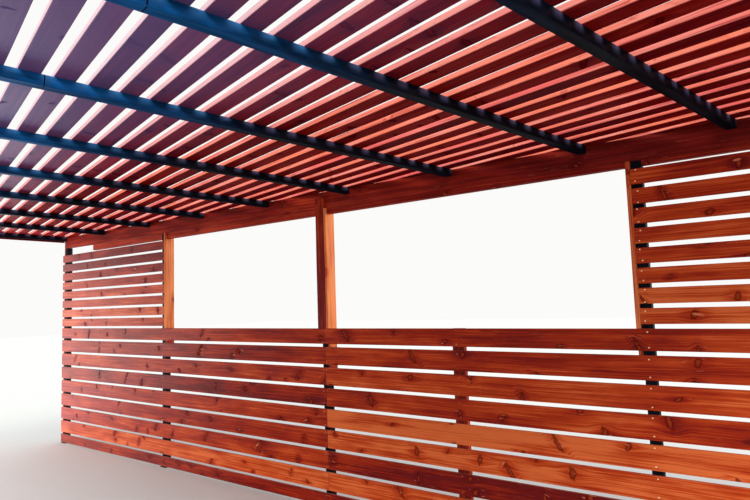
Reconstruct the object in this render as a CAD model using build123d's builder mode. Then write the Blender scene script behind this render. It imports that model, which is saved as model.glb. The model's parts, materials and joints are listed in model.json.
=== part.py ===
"""Timber and steel pergola: a slatted roof on steel rafters, with a boarded screen along its rear side.

The rear screen follows a boundary that isn't square to the roof, so the roof's slats and rafters
meet it on the skew. The roof also falls a little towards the screen.
"""
import os
from math import cos, radians, sin

from build123d import *

# Screen frame
post_size = 60
post_wall = 3
foot_size = 100
foot_thickness = 6
post_cap_thickness = 4
inner_post_lefts = [2125, 4356, 6776]
trim_thickness = 22
stud_left = 5553
stud_width = 90
stud_depth = 41

# Screen boards
board_thickness = 20
board_gap = 25
ground_gap = 12
base_board_height = 97
lower_board_height = 140
lower_board_count = 7
sill_board_height = 125
upper_board_height = 90
upper_board_count = 8
butt_gap = 2
joint_bearing = 15
header_gap = 18
header_end_height = 17
left_header_start = 700
jamb_thickness = 20
end_jamb_thickness = 25
jamb_depth = 110
short_jamb_tail = 230
long_jamb_tail = 380
cover_width = 90
cover_overlap = 90

# Beams
beam_thickness = 45
beam_height = 140

# Roof
roof_skew = 13.4
roof_fall = 0.03
front_reach = 2620
front_overhang = 20
rear_overhang = 20
roof_width = 8630
rafter_size = 50
rafter_wall = 2
left_bay = 900
left_bay_count = 7
right_bay_count = 3
slat_width = 86
slat_gap = 47
slat_thickness = 27
slat_groups = 5
slat_bay_count = 3
fascia_thickness = 20
fascia_height = 97
front_post_count = 5

# Heights worked out from the courses of boards
sill_board_bottom = (
    ground_gap + base_board_height + board_gap
    + lower_board_count * (lower_board_height + board_gap)
)
sill_height = sill_board_bottom + sill_board_height
upper_start = sill_height + board_gap
upper_top = upper_start + upper_board_count * (upper_board_height + board_gap) - board_gap
header_bottom = upper_top + header_gap

# Places worked out from the skew
skew_sin = sin(radians(roof_skew))
skew_cos = cos(radians(roof_skew))
beam_face = board_thickness
beam_back = beam_face + beam_thickness
post_centre_depth = board_thickness + post_size / 2
screen_length = (roof_width + beam_face * skew_sin) / skew_cos
post_lefts = [
    trim_thickness,
    *inner_post_lefts,
    screen_length - trim_thickness - post_size,
]

# Height of the roof plane at the screen's left end, set by the filler under the beam's low end
low_end_fall = roof_fall * (post_lefts[-1] * skew_sin + beam_back * skew_cos)
eave_height = header_bottom + header_end_height + beam_height + low_end_fall


def plan(u, v):
    """Place of a roof point, u along the slats and v towards the screen, in the screen's plan."""
    return u * skew_cos + v * skew_sin, v * skew_cos - u * skew_sin


def roof_v(u, depth):
    """How far v a rafter line at u runs to reach the given depth behind the boards' face."""
    return (depth + u * skew_sin) / skew_cos


# The origin is the middle of the whole plan
roof_front = -front_reach - front_overhang
left_edge = plan(-fascia_thickness, roof_front)[0]
front_edge = plan(roof_width + fascia_thickness, roof_front)[1]
right_edge = plan(roof_width + fascia_thickness, roof_v(roof_width, beam_face))[0]
back_edge = max(jamb_depth, post_centre_depth + foot_size / 2, beam_back + rear_overhang)
screen_x = -(left_edge + right_edge) / 2
screen_y = -(front_edge + back_edge) / 2

screen = Plane(origin=(screen_x, screen_y, 0), x_dir=(1, 0, 0), z_dir=(0, 0, 1))
face_plane = Plane(origin=(screen_x, screen_y, 0), x_dir=(1, 0, 0), z_dir=(0, -1, 0))
slat_dir = Vector(skew_cos, -skew_sin, 0)
fall_dir = Vector(skew_sin, skew_cos, -roof_fall)
roof = Plane(
    origin=(screen_x, screen_y, eave_height),
    x_dir=slat_dir,
    z_dir=slat_dir.cross(fall_dir),
)
roof_level = Plane(origin=(screen_x, screen_y, 0), x_dir=slat_dir, z_dir=(0, 0, 1))


def beam_top(x):
    """Height of the rear beam's top, which meets the roof plane along the beam's back edge."""
    return eave_height - roof_fall * (x * skew_sin + beam_back * skew_cos)


def beam_underside(x):
    """Height of the rear beam's underside at a place along the screen."""
    return beam_top(x) - beam_height


front_beam_top = eave_height + roof_fall * (front_reach - beam_thickness)
front_beam_underside = front_beam_top - beam_height
post_centres = [left + post_size / 2 for left in post_lefts]
beam_joint = post_centres[2]
board_joint = post_lefts[2] + post_size - joint_bearing

os.makedirs("parts", exist_ok=True)


def finish(part, name):
    """Label a finished piece and write its STEP file."""
    part.label = name
    export_step(part, f"parts/{name}.step")


def depth_plane(depth):
    """Vertical plane parallel to the screen, drawn looking at the boards' faces."""
    return face_plane.offset(-depth)


def make_post(base, x, y, height):
    """Square steel tube with a welded foot plate and a closing cap."""
    with BuildPart() as post:
        with BuildSketch(base):
            with Locations((x, y)):
                Rectangle(foot_size, foot_size)
        extrude(amount=foot_thickness)
        with BuildSketch(base.offset(foot_thickness)):
            with Locations((x, y)):
                Rectangle(post_size, post_size)
                Rectangle(post_size - 2 * post_wall, post_size - 2 * post_wall, mode=Mode.SUBTRACT)
        extrude(amount=height - foot_thickness - post_cap_thickness)
        with BuildSketch(base.offset(height - post_cap_thickness)):
            with Locations((x, y)):
                Rectangle(post_size, post_size)
        extrude(amount=post_cap_thickness)
    return post.part


def make_courses(x_start, x_end, courses):
    """Level boards on the posts' faces, one solid for each (bottom, height) course."""
    with BuildPart() as boards:
        with BuildSketch(depth_plane(board_thickness)):
            for bottom, height in courses:
                with Locations(((x_start + x_end) / 2, bottom + height / 2)):
                    Rectangle(x_end - x_start, height)
        extrude(amount=board_thickness)
    return boards.part


def make_upright(x_start, x_end, z_start, z_end, depth_start, depth_end):
    """Plain upright board with its place given in the screen's own directions."""
    with BuildPart() as upright:
        with BuildSketch(depth_plane(depth_end)):
            with Locations(((x_start + x_end) / 2, (z_start + z_end) / 2)):
                Rectangle(x_end - x_start, z_end - z_start)
        extrude(amount=depth_end - depth_start)
    return upright.part


# Screen posts: steel tubes up to the beam's underside
for index, centre in enumerate(post_centres):
    height = beam_underside(centre + post_size / 2)
    finish(make_post(screen, centre, post_centre_depth, height), f"screen_post_{index + 1}")

# Screen stud: a timber stiffener behind the lower boards of the long bay
stud = make_upright(
    stud_left, stud_left + stud_width, 0, sill_height, board_thickness, board_thickness + stud_depth
)
finish(stud, "screen_stud")

# Lower boards: a ripped base board, full courses and a narrower sill course, butted at the middle post
lower_courses = [(ground_gap, base_board_height)]
for course in range(lower_board_count):
    bottom = ground_gap + base_board_height + board_gap
    lower_courses.append((bottom + course * (lower_board_height + board_gap), lower_board_height))
lower_courses.append((sill_board_bottom, sill_board_height))
finish(make_courses(0, board_joint - butt_gap / 2, lower_courses), "lower_boards_left")
finish(make_courses(board_joint + butt_gap / 2, screen_length, lower_courses), "lower_boards_right")

# Upper boards: slatted panels in the two end bays
upper_courses = []
for course in range(upper_board_count):
    bottom = upper_start + course * (upper_board_height + board_gap)
    upper_courses.append((bottom, upper_board_height))
window_left = post_lefts[1] + post_size + jamb_thickness
window_right = post_lefts[3] - end_jamb_thickness
finish(make_courses(0, post_lefts[1] + post_size, upper_courses), "upper_boards_left")
finish(make_courses(post_lefts[3], screen_length, upper_courses), "upper_boards_right")

# Window jambs: upright boards that line the posts' sides, each with a tail behind the top lower boards
jambs = {
    "window_jamb_left": (window_left - jamb_thickness, jamb_thickness, short_jamb_tail),
    "window_jamb_middle": (post_lefts[2] + post_size, jamb_thickness, long_jamb_tail),
    "window_jamb_right": (window_right, end_jamb_thickness, short_jamb_tail),
}
for name, (left, thickness, tail) in jambs.items():
    top = beam_underside(left + thickness)
    tail_end = sill_height - tail
    side = Plane(origin=(screen_x + left, screen_y, 0), x_dir=(0, 1, 0), z_dir=(1, 0, 0))
    with BuildPart() as jamb:
        with BuildSketch(side):
            with BuildLine():
                Polyline(
                    (board_thickness, tail_end),
                    (jamb_depth, tail_end),
                    (jamb_depth, top),
                    (0, top),
                    (0, sill_height),
                    (board_thickness, sill_height),
                    close=True,
                )
            make_face()
        extrude(amount=thickness)
    finish(jamb.part, name)

# Post cover: the face board of the middle post, which also hides the joint in the beam
cover_right = post_lefts[2] + post_size
cover = make_upright(
    cover_right - cover_width,
    cover_right,
    sill_height,
    beam_underside(beam_joint) + cover_overlap,
    0,
    board_thickness,
)
finish(cover, "post_cover")

# End trims: boards that close the open side of the end posts
for name, left in (("end_trim_left", 0), ("end_trim_right", screen_length - trim_thickness)):
    right = left + trim_thickness
    trim = make_upright(left, right, ground_gap, beam_underside(right), board_thickness, jamb_depth)
    finish(trim, name)

# Headers: fillers under the beam between the posts, level below and cut to the beam's slope above
header_bays = [
    (left_header_start, post_lefts[1]),
    (window_left, post_lefts[2]),
    (post_lefts[2] + post_size + jamb_thickness, window_right),
    (post_lefts[3] + post_size, post_lefts[4]),
]
with BuildPart() as headers:
    with BuildSketch(depth_plane(beam_back)):
        for start, end in header_bays:
            with BuildLine():
                Polyline(
                    (start, header_bottom),
                    (end, header_bottom),
                    (end, beam_underside(end)),
                    (start, beam_underside(start)),
                    close=True,
                )
            make_face()
    extrude(amount=beam_thickness)
finish(headers.part, "headers")


def make_rear_beam(start, end):
    """Length of the rear beam, whose top and underside follow the roof's fall."""
    with BuildPart() as beam:
        with BuildSketch(depth_plane(beam_back)):
            with BuildLine():
                Polyline(
                    (start, beam_underside(start)),
                    (end, beam_underside(end)),
                    (end, beam_top(end)),
                    (start, beam_top(start)),
                    close=True,
                )
            make_face()
        extrude(amount=beam_thickness)
    return beam.part


finish(make_rear_beam(0, beam_joint - butt_gap / 2), "rear_beam_left")
finish(make_rear_beam(beam_joint + butt_gap / 2, screen_length), "rear_beam_right")

# Front posts and beam: square to the slats, with the beam's joint over the middle post
front_post_v = -front_reach + post_size / 2
front_post_pitch = (roof_width - post_size) / (front_post_count - 1)
front_post_us = [post_size / 2 + index * front_post_pitch for index in range(front_post_count)]
for index, u in enumerate(front_post_us):
    post = make_post(roof_level, u, front_post_v, front_beam_underside)
    finish(post, f"front_post_{index + 1}")


def make_front_beam(start, end):
    """Length of the front beam, level and along the slats."""
    with BuildPart() as beam:
        with BuildSketch(roof_level.offset(front_beam_underside)):
            with Locations(((start + end) / 2, -front_reach + beam_thickness / 2)):
                Rectangle(end - start, beam_thickness)
        extrude(amount=beam_height)
    return beam.part


front_joint = front_post_us[front_post_count // 2]
finish(make_front_beam(0, front_joint - butt_gap / 2), "front_beam_left")
finish(make_front_beam(front_joint + butt_gap / 2, roof_width), "front_beam_right")

# Rafters: steel tubes butted between the beams, cut on the skew at the rear one
last_rafter = roof_width - rafter_size
right_bay = (last_rafter - left_bay_count * left_bay) / right_bay_count
rafter_us = [0]
for bay, count in ((left_bay, left_bay_count), (right_bay, right_bay_count)):
    for _ in range(count):
        rafter_us.append(rafter_us[-1] + bay)
rear_beam_face = Plane(origin=(screen_x, screen_y + beam_face, 0), x_dir=(1, 0, 0), z_dir=(0, 1, 0))
front_inner = plan(0, -front_reach + beam_thickness)
front_beam_face = Plane(
    origin=(screen_x + front_inner[0], screen_y + front_inner[1], 0),
    x_dir=slat_dir,
    z_dir=(skew_sin, skew_cos, 0),
)


def make_rafter(u):
    """Square tube under the roof plane, with its ends cut to the faces of the two beams."""
    run_start = -front_reach
    run_end = roof_v(u + rafter_size, beam_back)
    section = Plane(
        origin=roof.from_local_coords((u + rafter_size / 2, run_start, -rafter_size / 2)),
        x_dir=roof.x_dir,
        z_dir=roof.y_dir,
    )
    with BuildPart() as rafter:
        with BuildSketch(section):
            Rectangle(rafter_size, rafter_size)
            inner = rafter_size - 2 * rafter_wall
            Rectangle(inner, inner, mode=Mode.SUBTRACT)
        extrude(amount=run_end - run_start)
        split(bisect_by=rear_beam_face, keep=Keep.BOTTOM)
        split(bisect_by=front_beam_face, keep=Keep.TOP)
    return rafter.part


for index, u in enumerate(rafter_us):
    finish(make_rafter(u), f"rafter_{index + 1}")

# Roof slats: laid across the rafters, butted over them in turn, and cut off along the rear beam
slat_pitch = slat_width + slat_gap
rear_left = roof_v(0, beam_back + rear_overhang)
rear_right = roof_v(roof_width, beam_back + rear_overhang)
slat_count = int((rear_right - roof_front) // slat_pitch) + 1
rafter_centres = [u + rafter_size / 2 for u in rafter_us]


def make_slats(first, last):
    """A run of slats as separate boards, trimmed to the roof's outline."""
    with BuildPart() as slats:
        with BuildSketch(roof):
            for index in range(first, last):
                near = roof_front + index * slat_pitch
                ends = [0]
                for joint in rafter_centres[slat_bay_count - index % 2 : -1 : slat_bay_count]:
                    ends += [joint - butt_gap / 2, joint + butt_gap / 2]
                ends.append(roof_width)
                for start, end in zip(ends[::2], ends[1::2]):
                    with Locations(((start + end) / 2, near + slat_width / 2)):
                        Rectangle(end - start, slat_width)
            with BuildLine():
                Polyline(
                    (0, roof_front),
                    (roof_width, roof_front),
                    (roof_width, rear_right),
                    (0, rear_left),
                    close=True,
                )
            make_face(mode=Mode.INTERSECT)
        extrude(amount=slat_thickness)
    return slats.part


for group in range(slat_groups):
    first = round(group * slat_count / slat_groups)
    last = round((group + 1) * slat_count / slat_groups)
    finish(make_slats(first, last), f"roof_slats_{group + 1}")

# Fascias: boards on the outer side of the end rafters, level with the top of the slats
for name, start in (("fascia_left", -fascia_thickness), ("fascia_right", roof_width)):
    end = start + fascia_thickness
    with BuildPart() as fascia:
        with BuildSketch(roof.offset(slat_thickness)):
            with BuildLine():
                Polyline(
                    (start, roof_front),
                    (end, roof_front),
                    (end, roof_v(end, beam_face)),
                    (start, roof_v(start, beam_face)),
                    close=True,
                )
            make_face()
        extrude(amount=-fascia_height)
    finish(fascia.part, name)
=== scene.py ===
"""Looks of the timber and steel pergola.

Every CAD node is rebuilt as a piece with eased edges and a slight natural waver, and each board
carries its own grain. The timber is stained pine and the tubes are painted steel. Nails, screws and
weld beads are added. Lengths are in metres and angles in degrees, unless a name says otherwise.
"""

import json
import math
import random

import bmesh
import bpy
from mathutils import Matrix, Vector
from mathutils.bvhtree import BVHTree


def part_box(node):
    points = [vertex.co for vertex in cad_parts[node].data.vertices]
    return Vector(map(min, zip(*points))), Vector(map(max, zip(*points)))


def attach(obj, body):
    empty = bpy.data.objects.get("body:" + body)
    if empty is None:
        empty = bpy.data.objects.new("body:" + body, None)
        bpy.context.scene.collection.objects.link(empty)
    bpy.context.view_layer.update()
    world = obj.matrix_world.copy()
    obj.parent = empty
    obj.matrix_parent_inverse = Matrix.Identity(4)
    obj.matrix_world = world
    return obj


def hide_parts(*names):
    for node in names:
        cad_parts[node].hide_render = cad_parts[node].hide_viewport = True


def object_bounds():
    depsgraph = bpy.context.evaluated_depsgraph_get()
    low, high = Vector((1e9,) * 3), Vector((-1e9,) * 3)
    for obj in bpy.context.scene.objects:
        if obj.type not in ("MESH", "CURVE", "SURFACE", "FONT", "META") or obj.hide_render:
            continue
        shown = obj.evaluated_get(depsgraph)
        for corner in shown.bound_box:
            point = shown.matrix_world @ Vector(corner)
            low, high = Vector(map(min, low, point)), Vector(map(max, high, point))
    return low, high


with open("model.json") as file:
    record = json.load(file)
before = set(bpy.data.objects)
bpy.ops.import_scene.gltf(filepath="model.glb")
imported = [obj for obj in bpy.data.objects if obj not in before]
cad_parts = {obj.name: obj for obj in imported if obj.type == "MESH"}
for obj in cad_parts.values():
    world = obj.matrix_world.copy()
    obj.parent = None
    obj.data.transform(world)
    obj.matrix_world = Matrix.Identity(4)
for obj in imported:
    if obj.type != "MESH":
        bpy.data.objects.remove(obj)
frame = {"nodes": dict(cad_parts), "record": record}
cad_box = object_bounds()
nodes = frame["nodes"]
slots = {part["node"]: part["material_slot"] for part in frame["record"]["subparts"]}

# Camera, found from the photograph's vanishing points, with its place from the screen's lower left
image_width = 750
lens_px = 566.84
horizon_shift_px = 5.0
camera_yaw, camera_pitch, camera_roll = 35.92, 4.76, -1.89
camera_from_corner = Vector((7.470, -3.508, 1.601))
sensor_width_mm = 36

# Floor and sky as the camera sees them, and as they light the pergola
floor_size = 80
floor_roughness, floor_shine = 0.9, 0.1
seen_floor, bounce_floor = (0.70, 0.70, 0.665, 1), (0.30, 0.27, 0.25, 1)
seen_sky, lighting_sky = (0.97, 0.965, 0.95, 1), (0.90, 0.95, 1.0, 1)

# Sun, and the lamps as name, place, point they face, size, power in watts and colour
sun_strength, sun_spread = 2.8, 35
sun_colour = (1.0, 0.97, 0.92)
towards_sun = Vector((0.32, -0.74, 0.6))
lamps = (
    ("open_end", (-7.8, 0.6, 1.2), (-3.0, 1.0, 1.6), (5.0, 2.4), 330, (1.0, 0.95, 0.90)),
    ("open_end_low", (-6.2, 1.6, 0.05), (-6.2, 1.6, 3.0), (3.0, 5.0), 240, (0.50, 0.65, 1.0)),
    ("behind_screen", (5.5, 6.0, 2.6), (-1.0, 2.2, 1.8), (4.0, 3.0), 220, (1.0, 0.93, 0.85)),
)

# Shape of boards and tubes
weld_distance = 1e-5
flat_angle_radians = 0.01
arris_segments = 2
board_arris, beam_arris, tube_radius = 0.003, 0.004, 0.005
station_pitch = 0.3
board_waver, beam_waver, wave_counts = 0.0018, 0.0009, (1, 2, 3)
cup = 0.0006

# Gain on a face's likeness to the broad faces, above 1 so that only steep faces count as edges
broad_gain = 1.4

# A board's middle from its pith: anywhere along the noise, and outside the board's thickness
pith_along, pith_across, pith_through = 60, 0.06, (0.02, 0.09)

# Stain, from 0 (dark plum) to 1 (bright orange), with each panel's boards from the bottom up. The
# upper panels' top boards are set darker, a painted shade under the roof.
board_tones = {
    "lower_boards_left": (0.3, 0.86, 0.54, 0.42, 0.52, 0.26, 0.52, 0.34, 0.42),
    "lower_boards_right": (0.4, 0.76, 0.2, 0.82, 0.98, 0.58, 0.72, 0.5, 0.48),
    "upper_boards_left": (0.6, 0.8, 0.55, 0.6, 0.5, 0.3, 0.02, 0.15),
    "upper_boards_right": (0.88, 0.93, 0.7, 0.58, 0.66, 0.6, 0.54, 0.54),
}
trim_tones = {
    "post_cover": (0.12,),
    "screen_stud": (0.15,),
    "end_trim_left": (0.3,),
    "end_trim_right": (0.3,),
}
beam_tones = {"rear_beam_left": (0.45,), "rear_beam_right": (0.6,), "headers": (0.66,)}
other_trim_tone = (0.9,)
slat_tone_range, beam_tone_range = (0.25, 0.75), (0.35, 0.55)

# Change of a beam's tone for each metre to the right, a painted shade that darkens them towards the
# right
shade_leans = {"rear_beam_right": -0.14, "headers": -0.06}

# Uprights get a darker tone behind the lower boards, a painted shade, from this far below the sill
# down
sill_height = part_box("lower_boards_left")[1][2]
shaded_below_sill, shaded_upright_tone = 0.17, 0.1

# Painted glare: a bluish sky reflection painted on the paint and roof undersides along this
# heading, from none to full, but not on the roof's right; front posts take a fixed share
glare_heading = Vector((0.05, 1.0, 0.0))
glare_start, glare_full = 1.0, -0.4
glare_right, glare_fade = 3.6, 2.0
front_post_glare = 0.14

# The screen's boards pale towards the open left end, a painted glow of daylight, between these
# places
daylight_start, daylight_full = -0.6, -4.8

# Painted patches of light that falls through the slats' gaps onto the rafters' sides, down to this
# depth
gap_light_depth = 0.046

# Nail and screw heads, with pairs placed by the share of the board's width from its edge
head_sides = 10
head_search = 0.04
head_profile = ((1.0, -0.5), (1.0, 0.5), (0.75, 1.0))  # shares of its radius and of its rise
nail_radius, nail_rise, nail_from_edge = 0.0045, 0.0014, 0.13
screw_radius, screw_rise, screw_from_edge = 0.0042, 0.0004, 0.24
nail_posts = [f"screen_post_{number}" for number in range(1, 6)] + ["screen_stud"]
bare_nail_posts = ("screen_post_4", "screen_post_5")
stained_nail_range = (0, 0.3)
nail_scatter, nail_room = 0.006, 0.012
foot_reach = 0.02
joint_reach, joint_inset = 0.02, 0.012

# Weld beads: y of the seam, profile along the tube, and path round it in half sizes across and down
bead_y = -0.25
bead_ys = {"rafter_7": -0.205, "rafter_8": -0.30}
bead_half_width, bead_rise, bead_sink = 0.003, 0.0012, 0.0006
bead_profile = ((-1, -bead_sink), (-0.4, bead_rise), (0.4, bead_rise), (1, -bead_sink))
bead_path = ((1, -0.9), (1, 0.8), (0.8, 1), (-0.8, 1), (-1, 0.8), (-1, -0.9))


def add_node(tree, kind, **settings):
    """Add a shader node and set its properties, or its inputs where no property has that name."""
    node = tree.nodes.new("ShaderNode" + kind)
    for name, value in settings.items():
        if hasattr(node, name):
            setattr(node, name, value)
        else:
            plug(tree, node.inputs[name], value)
    return node


def plug(tree, socket, value):
    """Feed a socket from another node's output or with a plain value."""
    if isinstance(value, bpy.types.NodeSocket):
        tree.links.new(value, socket)
    else:
        socket.default_value = value


def calc(tree, operation, first, second=0.0, third=0.0, clamp=False):
    """One step of arithmetic on sockets or numbers."""
    node = add_node(tree, "Math", operation=operation, use_clamp=clamp)
    for socket, value in zip(node.inputs, (first, second, third)):
        plug(tree, socket, value)
    return node.outputs[0]


def times(tree, product, *factors):
    """Product of sockets or numbers."""
    for factor in factors:
        product = calc(tree, "MULTIPLY", product, factor)
    return product


def centred(tree, value):
    """A value from 0 to 1, moved to lie about 0."""
    return calc(tree, "SUBTRACT", value, 0.5)


def vector_calc(tree, operation, first, second):
    """One step of arithmetic on vectors."""
    node = add_node(tree, "VectorMath", operation=operation)
    plug(tree, node.inputs[0], first)
    plug(tree, node.inputs[1], second)
    return node.outputs[0]


def split(tree, vector):
    """The three parts of a vector."""
    return add_node(tree, "SeparateXYZ", Vector=vector).outputs


def length(tree, first, first_unit, second, second_unit):
    """Length of a two-part vector, with each part counted in its own unit."""
    first_square = calc(tree, "POWER", calc(tree, "DIVIDE", first, first_unit), 2.0)
    second_square = calc(tree, "POWER", calc(tree, "DIVIDE", second, second_unit), 2.0)
    return calc(tree, "SQRT", calc(tree, "ADD", first_square, second_square))


def between(tree, value, none, full):
    """0 at the first limit and 1 at the second, with a smooth step between."""
    step = add_node(tree, "MapRange", interpolation_type="SMOOTHSTEP", Value=value)
    step.inputs["From Min"].default_value = none
    step.inputs["From Max"].default_value = full
    return step.outputs[0]


def noise(tree, vector, cells, detail=2.0, roughness=0.5):
    """Noise with so many cells in each metre along the vector's three parts."""
    place = vector_calc(tree, "MULTIPLY", vector, cells)
    node = add_node(
        tree, "TexNoise", Vector=place, Scale=1.0, Detail=detail, Roughness=roughness
    )
    return node.outputs[0]


def mix(tree, factor, first, second, blend="MIX"):
    """Mix of two colours. Of a Mix node's sockets, 6, 7 and output 2 are the ones for colour."""
    node = add_node(tree, "Mix", data_type="RGBA", blend_type=blend)
    plug(tree, node.inputs[0], factor)
    plug(tree, node.inputs[6], first)
    plug(tree, node.inputs[7], second)
    return node.outputs[2]


def ramp(tree, factor, stops):
    """Colour ramp from (place, colour) stops."""
    node = tree.nodes.new("ShaderNodeValToRGB")
    band = node.color_ramp
    while len(band.elements) < len(stops):
        band.elements.new(0.5)
    for element, (place, colour) in zip(band.elements, stops):
        element.position = place
        element.color = (*colour, 1)
    tree.links.new(factor, node.inputs[0])
    return node.outputs[0]


def attribute(tree, name, output):
    """Output of a mesh attribute."""
    return add_node(tree, "Attribute", attribute_name=name).outputs[output]


def upward(tree):
    """Height part of the surface's direction, from -1 facing down to 1 facing up."""
    return split(tree, add_node(tree, "NewGeometry").outputs["Normal"])[2]


def seen_directly(tree):
    """1 where the camera sees something, also by reflection or through glass, and 0 elsewhere."""
    ray = add_node(tree, "LightPath")
    seen = calc(tree, "ADD", ray.outputs["Is Camera Ray"], ray.outputs["Is Glossy Ray"])
    return calc(tree, "ADD", seen, ray.outputs["Is Transmission Ray"], clamp=True)


def add_relief(tree, shader, strength, distance, height, coat=False):
    """Bump on the surface, and on its coat too where that is asked for."""
    relief = add_node(tree, "Bump", Strength=strength, Distance=distance, Height=height)
    for name in ("Normal", "Coat Normal") if coat else ("Normal",):
        tree.links.new(relief.outputs[0], shader.inputs[name])


def new_material(name):
    """Material with its node tree and shader."""
    material = bpy.data.materials.new(name)
    material.use_nodes = True
    tree = material.node_tree
    return material, tree, tree.nodes["Principled BSDF"]


# Knots: rows and cells on a face, and half sizes that grow with chance
knots_per_metre, knot_rows_per_metre, knot_randomness = 2.4, 8.0, 0.9
knot_half_length, knot_length_growth = 0.009, 0.014
knot_half_height, knot_height_growth, knot_height_power = 0.014, 0.07, 1.6
knot_slant, knot_raggedness, knot_strength = 1.2, 1.5, 0.92
halo_length, halo_height = 5.0, 1.8

# Growth rings, and how they drift and bend round knots
rings_per_metre, ring_sharpness = 160, 2.5
ring_drift, ring_bend = 0.02, -0.8

# Cells of noise in each metre along, across and through the grain
ragged_cells = (55, 55, 55)
drift_cells = (1.1, 5, 5)
streak_cells = (2.2, 110, 110)
stripe_cells = (1.5, 52, 52)
band_cells = (0.8, 17, 17)
cloud_cells = (2.4, 8, 8)
flaw_cells = (14, 110, 110)

# How far each pattern moves the stain, and how far latewood shades it
band_share, stripe_share, cloud_share, streak_share = 0.65, 0.75, 1.05, 1.0
latewood_share, halo_share = -0.14, -0.3
earlywood_shade, latewood_shade = 1.05, -0.14

# Smooth steps, from where each is 0 to where it is 1
knot_rim, knot_heart, halo_rim = (1.25, 0.6), (0.2, 0.95), (1.2, 0.1)
flaw_peaks = (0.66, 0.74)
edge_by_tone, edge_by_cloud, edge_by_streak = (0.25, 0.75), (0.35, 0.7), (0.45, 0.85)
timber_upper, timber_under = (0.6, 0.95), (-0.6, -0.95)
out_of_glare_step = (0.22, 0.05)

# Colours over the stain: painted daylight on the boards, chips, painted glare on edges, dust, and
# painted shade and a painted bluish sky reflection on undersides
painted_daylight_timber = (0.66, 0.34, 0.31, 1)
chipped_timber = (0.75, 0.22, 0.1, 1)
edge_glare_colour = (0.8, 0.6, 0.66, 1)
dusty_timber = (0.21, 0.11, 0.08, 1)
shaded_underside = (0.04, 0.0, 0.002, 1)
underside_glare = (0.21, 0.19, 0.52, 1)

# How strongly chips, dust, painted glare on edges and painted shade on undersides show
flaw_everywhere, flaw_near_knots = 0.12, 0.8
dust_in_cloud, dust_least = 0.9, 0.35
edge_glare_gain, underside_shade_strength = 1.8, 0.34

# Matt wood under a thin skin of oil, and what adds to that skin
timber_roughness, skin_roughness = 0.8, 0.38
skin_on_streak, skin_on_glare, skin_on_knot, skin_on_dust = 0.15, 0.28, -0.3, -0.2

# Relief of the timber
timber_relief, timber_relief_height = 0.7, 0.0009
latewood_height, streak_height, knot_height = 0.4, 0.8, 0.7


def pine_knots(tree, grain, knot_share):
    """Knots: at most one in each cell of a board's face, round or drawn out across it.

    Gives the knots' cover, the distance from a knot's middle in its own half sizes, its part across
    the board in metres, and the halo of grain that bends round the knot.
    """
    place = vector_calc(tree, "MULTIPLY", grain, (knots_per_metre, knot_rows_per_metre, 0))
    cells = add_node(
        tree,
        "TexVoronoi",
        voronoi_dimensions="2D",
        Vector=place,
        Scale=1.0,
        Randomness=knot_randomness,
    )
    offset = split(tree, vector_calc(tree, "SUBTRACT", place, cells.outputs["Position"]))
    chances = add_node(tree, "SeparateColor", Color=cells.outputs["Color"]).outputs
    knot_x = calc(tree, "DIVIDE", offset[0], knots_per_metre)
    knot_y = calc(tree, "DIVIDE", offset[1], knot_rows_per_metre)
    slant = times(tree, centred(tree, chances[2]), knot_slant)
    knot_x = calc(tree, "MULTIPLY_ADD", knot_y, slant, knot_x)
    half_length = calc(tree, "MULTIPLY_ADD", chances[1], knot_length_growth, knot_half_length)
    tall = calc(tree, "POWER", chances[2], knot_height_power)
    half_height = calc(tree, "MULTIPLY_ADD", tall, knot_height_growth, knot_half_height)
    ragged = centred(tree, noise(tree, grain, ragged_cells, detail=3.0))
    smooth_reach = length(tree, knot_x, half_length, knot_y, half_height)
    reach = calc(tree, "MULTIPLY_ADD", ragged, knot_raggedness, smooth_reach)
    here = calc(tree, "LESS_THAN", chances[0], knot_share)
    knot = times(tree, between(tree, reach, *knot_rim), here)
    halo_half_length = times(tree, half_length, halo_length)
    halo_half_height = times(tree, half_height, halo_height)
    halo_reach = length(tree, knot_x, halo_half_length, knot_y, halo_half_height)
    halo = times(tree, between(tree, halo_reach, *halo_rim), here)
    return knot, reach, knot_y, halo


def pine_rings(tree, grain, knot_y, halo):
    """Growth rings round a pith outside the board, which bend round the knots.

    Gives the latewood, and the grain's place with that bend in it.
    """
    along, across, through = split(tree, grain)
    drift = centred(tree, noise(tree, grain, drift_cells))
    across = calc(tree, "ADD", across, times(tree, halo, knot_y, ring_bend))
    across = calc(tree, "MULTIPLY_ADD", drift, ring_drift, across)
    flow = add_node(tree, "CombineXYZ", X=along, Y=across, Z=through).outputs[0]
    radius = length(tree, across, 1.0, through, 1.0)
    ring = calc(tree, "FRACT", times(tree, radius, rings_per_metre))
    return calc(tree, "POWER", ring, ring_sharpness), flow


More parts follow.
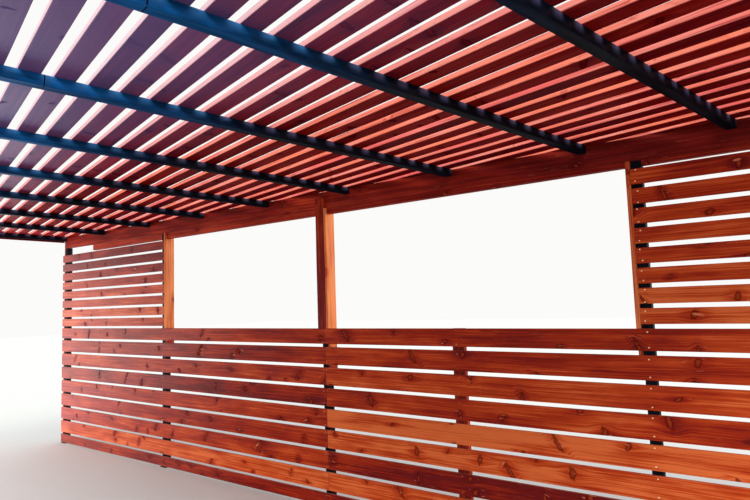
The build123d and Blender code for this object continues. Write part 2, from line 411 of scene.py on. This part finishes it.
def stained_pine(
    name,
    stops,
    edge_colours,
    edge_share,
    knot_colours=((0.36, 0.045, 0.016, 1), (0.085, 0.004, 0.004, 1)),
    knot_share=0.68,
    flaw_share=1.0,
    dust_share=0.5,
    glare_share=0.0,
    daylight_share=0.0,
    oil=0.08,
):
    """Pine with a translucent stain: rings, knots, streaks, dusty upper faces and paler edges, with
    painted glare and painted shade.
    """
    material, tree, shader = new_material(name)
    grain = attribute(tree, "grain", "Vector")
    tone = attribute(tree, "tone", "Fac")
    glare = attribute(tree, "glare", "Fac")
    knot, reach, knot_y, halo = pine_knots(tree, grain, knot_share)
    latewood, flow = pine_rings(tree, grain, knot_y, halo)
    streak = noise(tree, flow, streak_cells, detail=3.0)
    stripe = noise(tree, flow, stripe_cells, detail=3.0, roughness=0.6)
    band = noise(tree, flow, band_cells)
    cloud = noise(tree, grain, cloud_cells, detail=3.0)

    # Stain taken up unevenly by the bands, rings and streaks
    depth = tone
    shares = (
        (band, band_share),
        (stripe, stripe_share),
        (cloud, cloud_share),
        (streak, streak_share),
    )
    for pattern, share in shares:
        depth = calc(tree, "MULTIPLY_ADD", centred(tree, pattern), share, depth)
    depth = calc(tree, "MULTIPLY_ADD", latewood, latewood_share, depth)
    depth = calc(tree, "MULTIPLY_ADD", halo, halo_share, depth, clamp=True)
    shade = calc(tree, "MULTIPLY_ADD", latewood, latewood_shade, earlywood_shade)
    colour = mix(tree, 1.0, ramp(tree, depth, stops), shade, "MULTIPLY")

    # Painted daylight pales the boards towards the open end, but not their knots
    colour = mix(tree, times(tree, glare, daylight_share), colour, painted_daylight_timber)
    knot_colour = mix(tree, between(tree, reach, *knot_heart), *knot_colours)
    colour = mix(tree, times(tree, knot, knot_strength), colour, knot_colour)

    # Chipped grain shows as short pale slashes, most of them beside knots
    chips = between(tree, noise(tree, flow, flaw_cells, detail=1.0), *flaw_peaks)
    near_knots = calc(tree, "MULTIPLY_ADD", halo, flaw_near_knots, flaw_everywhere)
    colour = mix(tree, times(tree, chips, near_knots, flaw_share), colour, chipped_timber)

    # Edges and ends are paler, partly painted sunlight on the roof's bright edges, and painted
    # glare pales them more towards the open side
    edge_colour = mix(tree, between(tree, tone, *edge_by_tone), edge_colours[0], edge_colours[1])
    edge_colour = mix(tree, between(tree, cloud, *edge_by_cloud), edge_colour, edge_colours[2])
    edge_colour = mix(tree, between(tree, streak, *edge_by_streak), edge_colour, colour)
    edge_glare = calc(tree, "MULTIPLY", glare, glare_share * edge_glare_gain, clamp=True)
    edge_colour = mix(tree, edge_glare, edge_colour, edge_glare_colour)
    edge = times(tree, attribute(tree, "edge", "Fac"), edge_share)
    colour = mix(tree, edge, colour, edge_colour)

    # Faces that look up hold dust, and undersides get painted shade out of the glare and a painted
    # bluish sky reflection in it
    facing = upward(tree)
    dust = times(tree, between(tree, facing, *timber_upper), dust_share)
    patchy = calc(tree, "MULTIPLY_ADD", cloud, dust_in_cloud, dust_least, clamp=True)
    dust = times(tree, dust, patchy)
    colour = mix(tree, dust, colour, dusty_timber)
    under = times(tree, between(tree, facing, *timber_under), glare_share)
    out_of_glare = times(tree, between(tree, glare, *out_of_glare_step), underside_shade_strength)
    colour = mix(tree, times(tree, under, out_of_glare), colour, shaded_underside)
    in_glare = times(tree, under, between(tree, glare, 0.0, 1.0))
    colour = mix(tree, in_glare, colour, underside_glare)
    tree.links.new(colour, shader.inputs["Base Color"])

    # A thin skin of oil shines over matt wood
    shader.inputs["Specular IOR Level"].default_value = 0.0
    shader.inputs["Roughness"].default_value = timber_roughness
    shader.inputs["Coat Roughness"].default_value = skin_roughness
    skin = calc(tree, "MULTIPLY_ADD", streak, skin_on_streak, oil)
    skin = calc(tree, "MULTIPLY_ADD", glare, glare_share * skin_on_glare, skin)
    skin = calc(tree, "MULTIPLY_ADD", knot, skin_on_knot, skin)
    skin = calc(tree, "MULTIPLY_ADD", dust, skin_on_dust, skin, clamp=True)
    tree.links.new(skin, shader.inputs["Coat Weight"])
    height = times(tree, streak, streak_height)
    height = calc(tree, "MULTIPLY_ADD", latewood, latewood_height, height)
    height = calc(tree, "MULTIPLY_ADD", knot, knot_height, height)
    add_relief(tree, shader, timber_relief, timber_relief_height, height, coat=True)
    return material


# Paint: cells of noise in each metre, smooth steps from 0 to 1, colours of the paint, its painted
# gap light and dust, and shine
mottle_cells, speck_cells = (3, 30, 30), (160, 160, 160)
mottle_patches, mottle_gap_light = (0.3, 0.7), (0.2, 0.5)
patch_gain, patch_least = 0.9, 0.6
# Painted light below the slats' gaps: its width, the faces it takes and its share in the glare
gap_light_width, gap_light_sides, gap_light_by_glare = (0.32, 0.05), (0.8, 0.2), (0.0, 0.4)
steel_upper, steel_dust_share = (0.5, 0.95), 0.3
# Colours of that painted gap light, out of the glare and in it
gap_light_out_of_glare, gap_light_in_glare = (0.10, 0.10, 0.20, 1), (0.05, 0.25, 0.60, 1)
dusty_paint = (0.16, 0.13, 0.11, 1)
paint_roughness = 0.35
shine_on_mottle, shine_least, shine_on_dust = 0.12, 0.02, -0.4
paint_relief, paint_relief_height = 0.25, 0.0004


def painted_steel(name, out_of_glare, in_glare):
    """Satin paint on tube, nearly black out of the painted glare and with a painted blue sky
    reflection in it, and painted patches of light below the slats' gaps.
    """
    material, tree, shader = new_material(name)
    grain = attribute(tree, "grain", "Vector")
    mottle = noise(tree, grain, mottle_cells, detail=4.0)
    speck = noise(tree, grain, speck_cells, detail=1.0)
    glare = between(tree, attribute(tree, "glare", "Fac"), 0.0, 1.0)
    patches = between(tree, mottle, *mottle_patches)
    patchy = calc(tree, "MULTIPLY_ADD", patches, patch_gain, patch_least)
    colour = mix(tree, glare, (*out_of_glare, 1), (*in_glare, 1))
    colour = mix(tree, 1.0, colour, patchy, "MULTIPLY")

    # Painted patches of light on the sides, each below the middle of a gap, where light falls
    # through it
    facing = upward(tree)
    gap_place = split(tree, attribute(tree, "gap_place", "Vector"))
    from_gap = calc(tree, "ABSOLUTE", centred(tree, calc(tree, "FRACT", gap_place[0])))
    gap_light = times(
        tree,
        between(tree, from_gap, *gap_light_width),
        between(tree, gap_place[1], gap_light_depth, 0.0),
        between(tree, calc(tree, "ABSOLUTE", facing), *gap_light_sides),
        between(tree, mottle, *mottle_gap_light),
    )
    gap_light_colour = mix(tree, between(tree, glare, *gap_light_by_glare), gap_light_out_of_glare, gap_light_in_glare)
    colour = mix(tree, gap_light, colour, gap_light_colour)

    dust = times(tree, between(tree, facing, *steel_upper), steel_dust_share)
    colour = mix(tree, dust, colour, dusty_paint)
    tree.links.new(colour, shader.inputs["Base Color"])
    shader.inputs["Specular IOR Level"].default_value = 0.0
    shader.inputs["Coat Roughness"].default_value = paint_roughness
    shine = calc(tree, "MULTIPLY_ADD", mottle, shine_on_mottle, shine_least)
    shine = calc(tree, "MULTIPLY_ADD", dust, shine_on_dust, shine, clamp=True)
    tree.links.new(shine, shader.inputs["Coat Weight"])
    add_relief(tree, shader, paint_relief, paint_relief_height, speck)
    return material


# Zinc: bare colour, the stain over it, and roughness that varies over cells in each metre
bare_zinc, stained_zinc = (1.0, 0.72, 0.42, 1), (0.3, 0.07, 0.03, 1)
zinc_metallic, zinc_cells = 0.35, (7, 7, 7)
zinc_smoothest, zinc_roughness_growth = 0.35, 0.3


def galvanised(name):
    """Dull zinc on nail and screw heads, stained over where they aren't bare."""
    material, tree, shader = new_material(name)
    place = add_node(tree, "TexCoord").outputs["Object"]
    mottle = noise(tree, place, zinc_cells, detail=3.0)
    colour = mix(tree, attribute(tree, "tone", "Fac"), stained_zinc, bare_zinc)
    roughness = calc(tree, "MULTIPLY_ADD", mottle, zinc_roughness_growth, zinc_smoothest)
    tree.links.new(colour, shader.inputs["Base Color"])
    tree.links.new(roughness, shader.inputs["Roughness"])
    shader.inputs["Metallic"].default_value = zinc_metallic
    return material


materials = {
    "screen_timber": stained_pine(
        "stained_screen",
        stops=(
            (0.0, (0.16, 0.008, 0.008)),
            (0.35, (0.36, 0.022, 0.006)),
            (0.7, (0.58, 0.064, 0.011)),
            (1.0, (0.82, 0.17, 0.045)),
        ),
        edge_colours=((0.36, 0.05, 0.015, 1), (0.5, 0.08, 0.025, 1), (0.3, 0.03, 0.012, 1)),
        edge_share=0.4,
        daylight_share=0.22,
    ),
    "roof_timber": stained_pine(
        "stained_roof",
        stops=(
            (0.0, (0.13, 0.004, 0.012)),
            (0.5, (0.29, 0.007, 0.008)),
            (1.0, (0.45, 0.024, 0.016)),
        ),
        # The roof's edges are much paler than its faces, partly their own finish and partly painted
        # sunlight on the slats' edges
        edge_colours=((0.74, 0.13, 0.12, 1), (0.84, 0.22, 0.13, 1), (0.82, 0.28, 0.22, 1)),
        edge_share=1.0,
        knot_colours=((0.22, 0.008, 0.008, 1), (0.06, 0.001, 0.003, 1)),
        flaw_share=0.15,
        dust_share=0.35,
        glare_share=0.75,
        oil=-0.01,
    ),
    "beam_timber": stained_pine(
        "stained_beam",
        stops=(
            (0.0, (0.12, 0.006, 0.006)),
            (0.5, (0.26, 0.014, 0.008)),
            (1.0, (0.52, 0.055, 0.020)),
        ),
        edge_colours=((0.22, 0.02, 0.01, 1), (0.3, 0.03, 0.012, 1), (0.4, 0.05, 0.02, 1)),
        edge_share=0.3,
        knot_share=0.35,
    ),
    "trim_timber": stained_pine(
        "stained_trim",
        stops=(
            (0.0, (0.18, 0.008, 0.006)),
            (0.5, (0.5, 0.055, 0.014)),
            (1.0, (0.95, 0.30, 0.10)),
        ),
        edge_colours=((0.4, 0.04, 0.015, 1), (0.5, 0.07, 0.02, 1), (0.6, 0.1, 0.03, 1)),
        edge_share=0.3,
        knot_share=0.3,
    ),
    # The tube's second colour is a painted blue sky reflection, towards the open side
    "steel_tube": painted_steel("painted_tube", (0.005, 0.007, 0.013), (0.008, 0.130, 0.400)),
}
zinc = galvanised("zinc")
# The beads' paint is darker than the tube's and takes no glare, a painted shade along the seams
shaded_bead_paint = painted_steel("painted_weld", (0.002, 0.003, 0.006), (0.002, 0.008, 0.020))

# Filled by rebuild: each node's surface, and its solids as axes and lowest and highest corner
surfaces = {}
spans = {}

# Filled by place_piece: what the lamps light
lit_pieces = bpy.data.collections.new("lit_pieces")


def clamped(share):
    """The share, kept from 0 to 1."""
    return min(max(share, 0.0), 1.0)


def inside(point):
    """The point, or the nearest one in the CAD box."""
    return Vector((min(max(part, low), high) for part, low, high in zip(point, *cad_box)))


def from_lowest(group):
    """Key that sorts groups of vertices by height to the millimetre, then from left to right."""
    centre = sum((vert.co for vert in group), Vector()) / len(group)
    return round(centre.z, 3), centre.x


def islands(mesh):
    """Groups of connected vertices, one for each solid, from the lowest up."""
    left = dict.fromkeys(mesh.verts)
    groups = []
    while left:
        group, reached = [], [left.popitem()[0]]
        while reached:
            vert = reached.pop()
            group.append(vert)
            for link in vert.link_edges:
                other = link.other_vert(vert)
                if other in left:
                    del left[other]
                    reached.append(other)
        groups.append(group)
    return sorted(groups, key=from_lowest)


def piece_axes(mesh):
    """Rows along, across and through a board or tube, read from its largest flat face."""
    face = max(mesh.faces, key=lambda item: item.calc_area())
    through = face.normal.copy()
    longest = max(face.edges, key=lambda item: item.calc_length())
    along = (longest.verts[1].co - longest.verts[0].co).normalized()
    return Matrix((along, through.cross(along), through))


def from_pith(luck):
    """Where a board's middle lies from its pith, from which the grain is counted."""
    along, across = luck.uniform(0, pith_along), luck.uniform(-pith_across, pith_across)
    side = luck.choice((-1, 1))
    return Vector((along, across, side * luck.uniform(*pith_through)))


def add_stations(mesh, along):
    """Cut the mesh across at even steps, so that it can waver."""
    reach = [vert.co.dot(along) for vert in mesh.verts]
    first, last = min(reach), max(reach)
    count = max(1, round((last - first) / station_pitch))
    for index in range(1, count):
        station = along * (first + (last - first) * index / count)
        parts = mesh.verts[:] + mesh.edges[:] + mesh.faces[:]
        bmesh.ops.bisect_plane(
            mesh, geom=parts, plane_co=station, plane_no=along, dist=weld_distance
        )


def glare_at(point, name):
    """Share of painted glare at a place on a piece, or of painted daylight on a screen board."""
    if slots[name] == "screen_timber":
        return clamped((daylight_start - point.x) / (daylight_start - daylight_full))
    if name.startswith("front_post"):
        return front_post_glare
    depth = clamped((glare_start - point.dot(glare_heading)) / (glare_start - glare_full))
    return depth * clamped((glare_right - point.x) / glare_fade)


def add_object(name, data):
    """New object in the scene."""
    item = bpy.data.objects.new(name, data)
    bpy.context.scene.collection.objects.link(item)
    return item


def place_piece(mesh, name, replaces=True, material=None):
    """Turn a bmesh into a piece on the root body, in place of its node or beside it."""
    data = bpy.data.meshes.new(name + "_piece")
    mesh.to_mesh(data)
    mesh.free()
    piece = add_object(name + "_piece", data)
    lit_pieces.objects.link(piece)
    data.materials.append(material or materials[slots[name]])
    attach(piece, "root")
    if replaces:
        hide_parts(name)


def rebuild(
    name,
    arris,
    waver=board_waver,
    tones=None,
    tone_range=slat_tone_range,
    lit_above=-math.inf,
):
    """New piece in place of a CAD node: eased edges, cuts along its length, waver and grain."""
    luck = random.Random(name)
    mesh = bmesh.new()
    mesh.from_mesh(nodes[name].data)
    bmesh.ops.remove_doubles(mesh, verts=mesh.verts, dist=weld_distance)
    bmesh.ops.dissolve_limit(
        mesh, angle_limit=flat_angle_radians, verts=mesh.verts, edges=mesh.edges
    )
    axes = piece_axes(mesh)
    along, across, through = axes
    bmesh.ops.bevel(
        mesh,
        geom=mesh.edges[:],
        offset=arris,
        segments=arris_segments,
        profile=0.5,
        affect="EDGES",
        clamp_overlap=True,
    )
    add_stations(mesh, along)

    grain = mesh.verts.layers.float_vector.new("grain")
    tone = mesh.verts.layers.float.new("tone")
    glare = mesh.verts.layers.float.new("glare")
    edge = mesh.faces.layers.float.new("edge")
    for face in mesh.faces:
        face[edge] = 1.0 - min(1.0, abs(face.normal.dot(through)) * broad_gain)
    lean = shade_leans.get(name, 0.0)
    for index, group in enumerate(islands(mesh)):
        spots = [axes @ vert.co for vert in group]
        low = Vector((min(spot[part] for spot in spots) for part in range(3)))
        high = Vector((max(spot[part] for spot in spots) for part in range(3)))
        spans.setdefault(name, []).append((axes, low, high))
        middle, half = (low + high) / 2, (high - low) / 2
        offset = from_pith(luck)
        bow, warp = luck.uniform(-1, 1) * waver, luck.uniform(-1, 1) * waver
        waves, phase = luck.choice(wave_counts), luck.uniform(0, math.tau)
        cupping = luck.uniform(-1, 1) * cup if waver else 0.0
        stain = tones[index % len(tones)] if tones else luck.uniform(*tone_range)
        for vert, spot in zip(group, spots):
            place = spot - middle
            share = (place.x / half.x + 1) / 2
            swing = math.sin(math.pi * share)
            lit = vert.co.z > lit_above
            vert[grain] = place + offset
            vert[tone] = stain + lean * vert.co.x if lit else shaded_upright_tone
            vert.co += across * bow * swing * math.sin(math.pi * waves * share + phase)
            vert.co += through * warp * swing * math.sin(math.pi * (waves + 1) * share)
            vert.co += through * cupping * swing * ((place.y / half.y) ** 2 - 0.5)
            vert.co = inside(vert.co)
            vert[glare] = glare_at(vert.co, name)
    surfaces[name] = BVHTree.FromBMesh(mesh)
    place_piece(mesh, name)


def extent(solid, part, direction):
    """Where a solid starts and ends along a direction that one of its own axes follows."""
    axes, low, high = solid
    flip = 1 if axes[part].dot(direction) > 0 else -1
    return sorted((low[part] * flip, high[part] * flip))


def skin(mesh, lower, upper, closed):
    """Faces between two rows of vertices, also from last to first where the rows are closed."""
    for step in range(len(lower) if closed else len(lower) - 1):
        after = (step + 1) % len(lower)
        mesh.faces.new((lower[step], lower[after], upper[after], upper[step]))


def add_heads(name, carriers, spots, radius, rise):
    """Low round heads where rays from the given points first meet the pieces that carry them."""
    mesh = bmesh.new()
    tone = mesh.verts.layers.float.new("tone")
    for origin, direction, bareness in spots:
        hits = [surfaces[carrier].ray_cast(origin, direction, head_search) for carrier in carriers]
        hits = [hit for hit in hits if hit[0]]
        if not hits:
            continue
        point, normal = min(hits, key=lambda hit: hit[3])[:2]
        turn = normal.to_track_quat("Z", "Y").to_matrix()
        rings = []
        for share, lift in head_profile:
            ring = []
            for step in range(head_sides):
                angle = math.tau * step / head_sides
                x, y = math.cos(angle) * radius * share, math.sin(angle) * radius * share
                ring.append(mesh.verts.new(inside(point + turn @ Vector((x, y, rise * lift)))))
                ring[-1][tone] = bareness
            rings.append(ring)
        for lower, upper in zip(rings, rings[1:]):
            skin(mesh, lower, upper, closed=True)
        mesh.faces.new(rings[-1])
        mesh.faces.new(rings[0][::-1])
    place_piece(mesh, name, replaces=False, material=zinc)


def nail_spots(luck):
    """A pair of nails through each screen board at every post, and at the stud below the sill."""
    spots = []
    for name in board_tones:
        front = nodes[name].bound_box[0][1]
        for solid in spans[name]:
            left, right = extent(solid, 0, Vector((1, 0, 0)))
            bottom, top = extent(solid, 1, Vector((0, 0, 1)))
            for post in nail_posts:
                post_left, post_right = (corner[0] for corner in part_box(post))
                if post != "screen_stud":
                    post_left, post_right = post_left + foot_reach, post_right - foot_reach
                start, end = max(left, post_left), min(right, post_right)
                if end - start < nail_room or (post == "screen_stud" and bottom > sill_height):
                    continue
                scatter = min(nail_scatter, (end - start) / 4)
                for share in (nail_from_edge, 1 - nail_from_edge):
                    x = (start + end) / 2 + luck.uniform(-1, 1) * scatter
                    z = bottom + (top - bottom) * share + luck.uniform(-1, 1) * nail_scatter
                    bare = 1.0 if post in bare_nail_posts else luck.uniform(*stained_nail_range)
                    spots.append((Vector((x, front - head_search / 2, z)), Vector((0, 1, 0)), bare))
    return spots


def screw_spots(luck):
    """A pair of screws through each slat at every rafter, and at both sides of a butt joint."""
    rafter_us = []
    for name in rafter_names:
        reach = [vert.co.dot(slat_dir) for vert in nodes[name].data.vertices]
        rafter_us.append((min(reach) + max(reach)) / 2)
    spots = []
    for name in slat_names:
        for solid in spans[name]:
            start, end = extent(solid, 0, slat_dir)
            near, far = extent(solid, 1, row_dir)
            top = extent(solid, 2, up)[1]
            for rafter_u in rafter_us:
                if rafter_u < start - joint_reach or rafter_u > end + joint_reach:
                    continue
                u = min(max(rafter_u, start + joint_inset), end - joint_inset)
                for share in (screw_from_edge, 1 - screw_from_edge):
                    v = near + (far - near) * share
                    spot = slat_dir * u + row_dir * v + up * (top + head_search / 2)
                    spots.append((spot, -up, luck.uniform(0, 1)))
    return spots


def mark_gap_places():
    """Give the rafters' points their place in the run of slats and their depth below the top, for
    the painted light below the gaps.

    The place counts in pitches, and the middle of each gap comes halfway between whole numbers.
    """
    rows = [extent(solid, 1, row_dir) for solid in spans[slat_names[0]]]
    starts = sorted({round(start, 3) for start, end in rows})
    ends = sorted({round(end, 3) for start, end in rows})
    pitch = starts[1] - starts[0]
    gap_middle = (ends[0] + starts[1]) / 2
    for name in rafter_names:
        data = bpy.data.objects[name + "_piece"].data
        top = max(vert.co.dot(up) for vert in data.vertices)
        gap_place = data.attributes.new("gap_place", "FLOAT_VECTOR", "POINT")
        for vert, item in zip(data.vertices, gap_place.data):
            place = (vert.co.dot(row_dir) - gap_middle) / pitch + 0.5
            item.vector = (place, top - vert.co.dot(up), 0)


def add_weld_beads():
    """Beads round the rafters' sides and underside, where two lengths of tube meet."""
    mesh = bmesh.new()
    grain = mesh.verts.layers.float_vector.new("grain")
    glare = mesh.verts.layers.float.new("glare")
    for name in rafter_names:
        axes, low, high = spans[name][0]
        along = axes[0]
        side = along.cross(up).normalized()
        middle = axes.transposed() @ ((low + high) / 2)
        half_size = (high.z - low.z) / 2
        seam = middle + along * ((bead_ys.get(name, bead_y) - middle.y) / along.y)
        path = [side * across - up * down for across, down in bead_path]
        rows = []
        for shift, lift in bead_profile:
            row = []
            for spot in path:
                place = seam + along * shift * bead_half_width + spot * (half_size + lift)
                row.append(mesh.verts.new(place))
                row[-1][grain], row[-1][glare] = spot, glare_at(row[-1].co, name)
            rows.append(row)
        for lower, upper in zip(rows, rows[1:] + rows[:1]):
            skin(mesh, lower, upper, closed=False)
        mesh.faces.new([row[0] for row in rows])
        mesh.faces.new([row[-1] for row in reversed(rows)])
    bmesh.ops.recalc_face_normals(mesh, faces=mesh.faces)
    place_piece(mesh, "weld_beads", replaces=False, material=shaded_bead_paint)


def add_floor():
    """Pale floor that takes the pergola's shadow."""
    bpy.ops.mesh.primitive_plane_add(size=floor_size)
    floor = bpy.context.object
    floor.name = "floor"
    material, tree, shader = new_material("floor_pale")
    shader.inputs["Roughness"].default_value = floor_roughness
    shader.inputs["Specular IOR Level"].default_value = floor_shine
    colour = mix(tree, seen_directly(tree), bounce_floor, seen_floor)
    tree.links.new(colour, shader.inputs["Base Color"])
    floor.data.materials.append(material)


def add_sky():
    """Plain pale world."""
    world = bpy.data.worlds.new("studio")
    bpy.context.scene.world = world
    world.use_nodes = True
    tree = world.node_tree
    background = tree.nodes["Background"]
    colour = mix(tree, seen_directly(tree), lighting_sky, seen_sky)
    tree.links.new(colour, background.inputs["Color"])
    background.inputs["Strength"].default_value = 1.0


def add_sun():
    """Wide soft sun."""
    data = bpy.data.lights.new("key", "SUN")
    data.energy = sun_strength
    data.angle = math.radians(sun_spread)
    data.color = sun_colour
    sun = add_object("key", data)
    sun.rotation_euler = towards_sun.to_track_quat("Z", "Y").to_euler()


def add_lamp(name, place, towards, size, power, colour):
    """Large soft lamp that the camera doesn't see and that lights only the pergola."""
    data = bpy.data.lights.new(name, "AREA")
    data.shape = "RECTANGLE"
    data.size, data.size_y = size
    data.energy = power
    data.color = colour
    lamp = add_object(name, data)
    lamp.location = place
    lamp.rotation_euler = (Vector(towards) - Vector(place)).to_track_quat("-Z", "Y").to_euler()
    lamp.visible_camera = False
    lamp.light_linking.receiver_collection = lit_pieces


def add_camera():
    """Camera at the photograph's place and angle."""
    yaw, pitch, roll = (math.radians(angle) for angle in (camera_yaw, camera_pitch, camera_roll))
    forward = Vector(
        (-math.sin(yaw) * math.cos(pitch), math.cos(yaw) * math.cos(pitch), math.sin(pitch))
    )
    level_right = Vector((math.cos(yaw), math.sin(yaw), 0))
    level_up = level_right.cross(forward)
    right = math.cos(roll) * level_right + math.sin(roll) * level_up
    top = math.cos(roll) * level_up - math.sin(roll) * level_right
    data = bpy.data.cameras.new("camera")
    data.sensor_width = sensor_width_mm
    data.lens = sensor_width_mm * lens_px / image_width
    data.shift_y = horizon_shift_px / image_width
    camera = add_object("camera", data)
    place = Vector(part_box("lower_boards_left")[0]) + camera_from_corner
    turn = Matrix((right, top, -forward)).transposed().to_4x4()
    camera.matrix_world = Matrix.Translation(place) @ turn
    bpy.context.scene.camera = camera


# One piece for every CAD node
for name in nodes:
    kind = slots[name]
    if kind == "steel_tube":
        rebuild(name, tube_radius, waver=0.0)
    elif kind == "screen_timber":
        rebuild(name, board_arris, tones=board_tones[name])
    elif kind == "beam_timber":
        tones = beam_tones.get(name)
        rebuild(name, beam_arris, waver=beam_waver, tones=tones, tone_range=beam_tone_range)
    elif kind == "trim_timber":
        tones = trim_tones.get(name, other_trim_tone)
        rebuild(name, board_arris, tones=tones, lit_above=sill_height - shaded_below_sill)
    else:
        rebuild(name, board_arris)

# Directions along a slat, up from the roof, and across the rows of slats
slat_names = [name for name in nodes if slots[name] == "roof_timber"]
rafter_names = [name for name in nodes if name.startswith("rafter_")]
slat_axes = spans[slat_names[0]][0][0]
slat_dir = slat_axes[0] if slat_axes[0].x > 0 else -slat_axes[0]
up = slat_axes[2] if slat_axes[2].z > 0 else -slat_axes[2]
row_dir = up.cross(slat_dir)

# Fixings, where the nails come before the screws in one run of chance
fixing_luck = random.Random("nails")
add_heads("nails", list(board_tones), nail_spots(fixing_luck), nail_radius, nail_rise)
add_heads("roof_screws", slat_names, screw_spots(fixing_luck), screw_radius, screw_rise)
mark_gap_places()
add_weld_beads()

# Floor, light and camera
add_floor()
add_sky()
add_sun()
for lamp in lamps:
    add_lamp(*lamp)
add_camera()
bpy.context.scene.view_settings.view_transform = "Standard"
